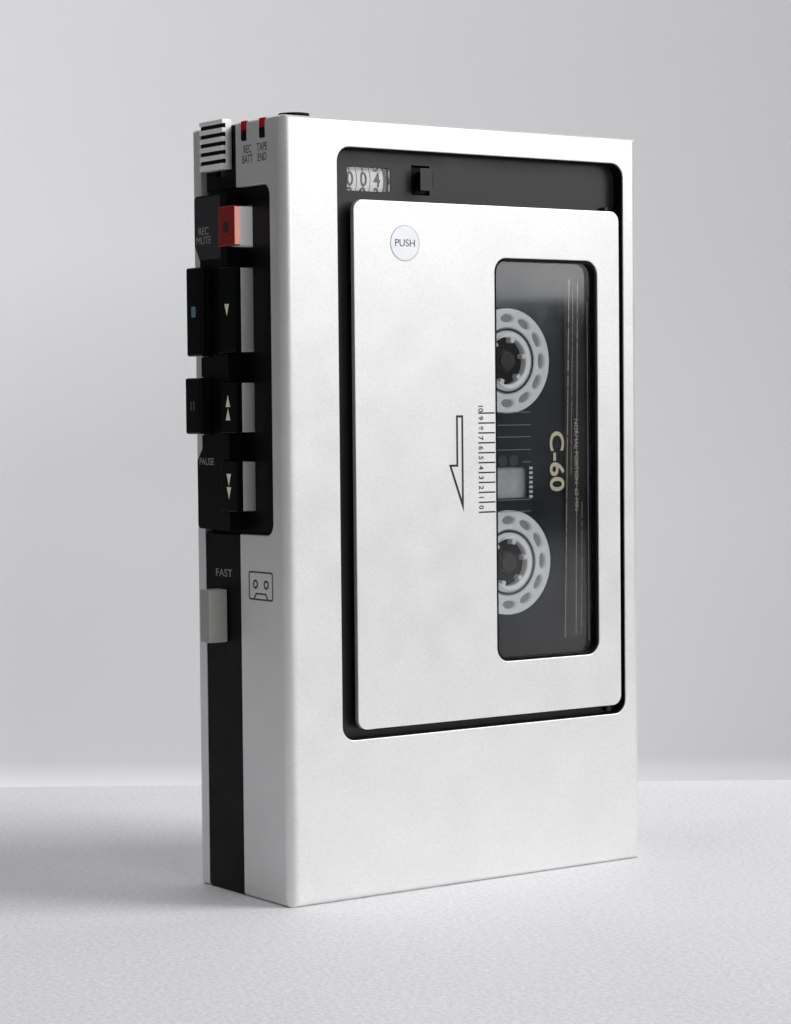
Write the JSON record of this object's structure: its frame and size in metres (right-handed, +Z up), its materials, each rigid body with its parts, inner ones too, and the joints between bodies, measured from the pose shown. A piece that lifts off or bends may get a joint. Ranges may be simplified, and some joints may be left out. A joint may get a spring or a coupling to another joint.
{
  "type": "cassette player",
  "caption": "Pocket cassette player and recorder: slim upright silver case with a windowed door hinged at the side, a loaded tape and a bank of push keys along one edge.",
  "frame": {"origin": "centre of the case's flat base, which it stands on", "axes": "+X to the right across the front, with the keys on the -X side; +Y into the case, with the door facing -Y; +Z up along the case's height"},
  "size_m": [0.0961, 0.035, 0.157],
  "materials": {
    "silver_case": "fine satin silver, lightly bead-blasted",
    "door_silver": "fine satin silver",
    "black_frame": "fine-textured black",
    "black_bezel": "satin black",
    "dark_panel": "fine-grained dark grey",
    "clear_window": "clear acrylic",
    "smoked_shell": "smoked clear polystyrene",
    "hub_white": "slightly translucent white",
    "tape_brown": "dark brown tape edge",
    "felt": "felt",
    "steel": "zinc-plated steel",
    "polished_steel": "polished",
    "brass": "turned",
    "bronze": "sintered bronze",
    "rubber_black": "ground rubber",
    "motor_can": "drawn can",
    "nylon_dark": "moulded dark nylon",
    "counter_white": "white with black figures",
    "key_red": "red cap on a satin silver body",
    "key_black": "black cap on a satin silver body",
    "key_all_black": "satin black",
    "led_red": "translucent red",
    "knob_grey": "light grey, fine texture",
    "slider_grey": "warm grey",
    "board_green": "solder mask",
    "part_blue": "printed sleeve",
    "cell_label": "plain printed sleeve",
    "nickel": "nickel plated",
    "speaker_black": "pressed frame and paper cone",
    "head_metal": "polished head face"
  },
  "bodies": {
    "case": {"front_shell": "silver_case", "center_frame": "black_frame", "back_shell": "silver_case", "key_bezel": "black_bezel", "case_screws": "polished_steel", "cassette_well": "dark_panel", "led_windows": "led_red", "hinge_pins": "nylon_dark", "door_catch": "steel", "chassis_plate": "steel", "capstan_bearing": "bronze", "flywheel_bracket": "steel", "motor": "motor_can", "drive_belt": "rubber_black", "counter_frame": "nylon_dark", "key_spring_comb": "nickel", "main_board": "board_green", "circuit_parts": "part_blue", "battery_cells": "cell_label", "battery_contacts": "nickel", "speaker": "speaker_black", "audio_jacks": "nylon_dark", "microphone": "black_frame"},
    "door": {"door_panel": "door_silver", "door_holder": "black_bezel", "window_pane": "clear_window", "cassette_front_half": "smoked_shell", "cassette_back_half": "smoked_shell", "tape_run": "tape_brown", "pressure_pad": "felt", "guide_rollers": "hub_white", "cassette_screws": "polished_steel"},
    "supply_tape": {"supply_hub": "hub_white", "supply_tape_pack": "tape_brown"},
    "takeup_tape": {"takeup_hub": "hub_white", "takeup_tape_pack": "tape_brown"},
    "flywheel_unit": {"flywheel": "brass", "capstan": "polished_steel"},
    "motor_rotor": {"motor_pulley": "brass"},
    "idler": {"idler_wheel": "rubber_black"},
    "supply_reel": {"supply_spindle": "nylon_dark"},
    "takeup_reel": {"takeup_spindle": "nylon_dark"},
    "head_carriage": {"head_plate": "steel", "record_head": "head_metal", "erase_head": "nylon_dark"},
    "pinch_lever": {"pinch_arm": "steel"},
    "pinch_wheel": {"pinch_roller": "rubber_black"},
    "counter_hundreds": {"counter_wheel_hundreds": "counter_white"},
    "counter_tens": {"counter_wheel_tens": "counter_white"},
    "counter_ones": {"counter_wheel_ones": "counter_white"},
    "reset": {"reset_button": "nylon_dark"},
    "record_key": {"key_record": "key_red"},
    "play_key": {"key_play": "key_black"},
    "rewind_key": {"key_rewind": "key_black"},
    "forward_key": {"key_forward": "key_black"},
    "stop_key": {"key_stop": "key_all_black"},
    "pause_key": {"key_pause": "key_all_black"},
    "volume": {"volume_slider": "knob_grey"},
    "speed": {"speed_slider": "slider_grey"},
    "battery_cover": {"battery_door": "silver_case"}
  },
  "joints": [
    {"name": "door_hinge", "type": "hinge", "parent": "case", "child": "door", "pos_m": [0.0378, -0.0153, 0.086], "axis": [0, 0, 1], "range_deg": [0, 78]},
    {"name": "record_press", "type": "slide", "parent": "case", "child": "record_key", "axis": [1, 0, 0], "range_m": [0, 0.0022], "stiffness_N_per_m": 400, "springref_m": -0.0005},
    {"name": "play_press", "type": "slide", "parent": "case", "child": "play_key", "axis": [1, 0, 0], "range_m": [0, 0.0022], "stiffness_N_per_m": 400, "springref_m": -0.0005},
    {"name": "rewind_press", "type": "slide", "parent": "case", "child": "rewind_key", "axis": [1, 0, 0], "range_m": [0, 0.0022], "stiffness_N_per_m": 400, "springref_m": -0.0005},
    {"name": "forward_press", "type": "slide", "parent": "case", "child": "forward_key", "axis": [1, 0, 0], "range_m": [0, 0.0022], "stiffness_N_per_m": 400, "springref_m": -0.0005},
    {"name": "stop_press", "type": "slide", "parent": "case", "child": "stop_key", "axis": [1, 0, 0], "range_m": [0, 0.0022], "stiffness_N_per_m": 400, "springref_m": -0.0005},
    {"name": "pause_press", "type": "slide", "parent": "case", "child": "pause_key", "axis": [1, 0, 0], "range_m": [0, 0.0022], "stiffness_N_per_m": 400, "springref_m": -0.0005},
    {"name": "head_slide", "type": "slide", "parent": "case", "child": "head_carriage", "axis": [1, 0, 0], "range_m": [0, 0.0042]},
    {"name": "pinch_swing", "type": "hinge", "parent": "case", "child": "pinch_lever", "pos_m": [-0.0289, -0.0075, 0.0515], "axis": [0, 1, 0], "range_deg": [0, 16.7]},
    {"name": "pinch_roller_spin", "type": "hinge", "parent": "pinch_lever", "child": "pinch_wheel", "pos_m": [-0.0289, -0.0105, 0.0664], "axis": [0, 1, 0], "continuous": true},
    {"name": "flywheel_spin", "type": "hinge", "parent": "case", "child": "flywheel_unit", "pos_m": [-0.0193, 0.0005, 0.06645], "axis": [0, 1, 0], "continuous": true},
    {"name": "motor_spin", "type": "hinge", "parent": "case", "child": "motor_rotor", "pos_m": [-0.0216, 0.0005, 0.0427], "axis": [0, 1, 0], "continuous": true},
    {"name": "idler_spin", "type": "hinge", "parent": "case", "child": "idler", "pos_m": [-0.00115, 0.0005, 0.06607], "axis": [0, 1, 0], "continuous": true},
    {"name": "takeup_spin", "type": "hinge", "parent": "case", "child": "takeup_reel", "pos_m": [0.013, 0.0005, 0.0657], "axis": [0, 1, 0], "continuous": true},
    {"name": "supply_spin", "type": "hinge", "parent": "case", "child": "supply_reel", "pos_m": [0.013, 0.0005, 0.1082], "axis": [0, 1, 0], "continuous": true},
    {"name": "takeup_hub_spin", "type": "hinge", "parent": "door", "child": "takeup_tape", "pos_m": [0.013, -0.00995, 0.0657], "axis": [0, 1, 0], "continuous": true},
    {"name": "supply_hub_spin", "type": "hinge", "parent": "door", "child": "supply_tape", "pos_m": [0.013, -0.00995, 0.1082], "axis": [0, 1, 0], "continuous": true},
    {"name": "counter_ones_spin", "type": "hinge", "parent": "case", "child": "counter_ones", "pos_m": [-0.0236, -0.0082, 0.14445], "axis": [1, 0, 0], "continuous": true},
    {"name": "counter_tens_spin", "type": "hinge", "parent": "case", "child": "counter_tens", "pos_m": [-0.0236, -0.0082, 0.14445], "axis": [1, 0, 0], "continuous": true},
    {"name": "counter_hundreds_spin", "type": "hinge", "parent": "case", "child": "counter_hundreds", "pos_m": [-0.0236, -0.0082, 0.14445], "axis": [1, 0, 0], "continuous": true},
    {"name": "reset_press", "type": "slide", "parent": "case", "child": "reset", "axis": [0, 1, 0], "range_m": [0, 0.0015], "stiffness_N_per_m": 150, "springref_m": -0.0005},
    {"name": "volume_slide", "type": "slide", "parent": "case", "child": "volume", "axis": [0, 0, -1], "range_m": [0, 0.0035]},
    {"name": "speed_slide", "type": "slide", "parent": "case", "child": "speed", "axis": [0, 0, -1], "range_m": [0, 0.003]},
    {"name": "battery_door_slide", "type": "slide", "parent": "case", "child": "battery_cover", "axis": [0, 0, -1], "range_m": [0, 0.02]}
  ],
  "couplings": [
    {"joint": "head_slide", "follows": "play_press", "ratio": 1.9091},
    {"joint": "pinch_swing", "follows": "play_press", "rad_per_m": 132.49},
    {"joint": "motor_spin", "follows": "flywheel_spin", "ratio": 4.92},
    {"joint": "idler_spin", "follows": "flywheel_spin", "ratio": -2.5641},
    {"joint": "takeup_spin", "follows": "flywheel_spin", "ratio": 1.4444},
    {"joint": "takeup_hub_spin", "follows": "flywheel_spin", "ratio": 1.4444},
    {"joint": "supply_spin", "follows": "flywheel_spin", "ratio": 0.80101},
    {"joint": "supply_hub_spin", "follows": "flywheel_spin", "ratio": 0.80101},
    {"joint": "counter_ones_spin", "follows": "flywheel_spin", "ratio": -0.072222},
    {"joint": "counter_tens_spin", "follows": "flywheel_spin", "ratio": -0.007222},
    {"joint": "counter_hundreds_spin", "follows": "flywheel_spin", "ratio": -0.000722}
  ]
}
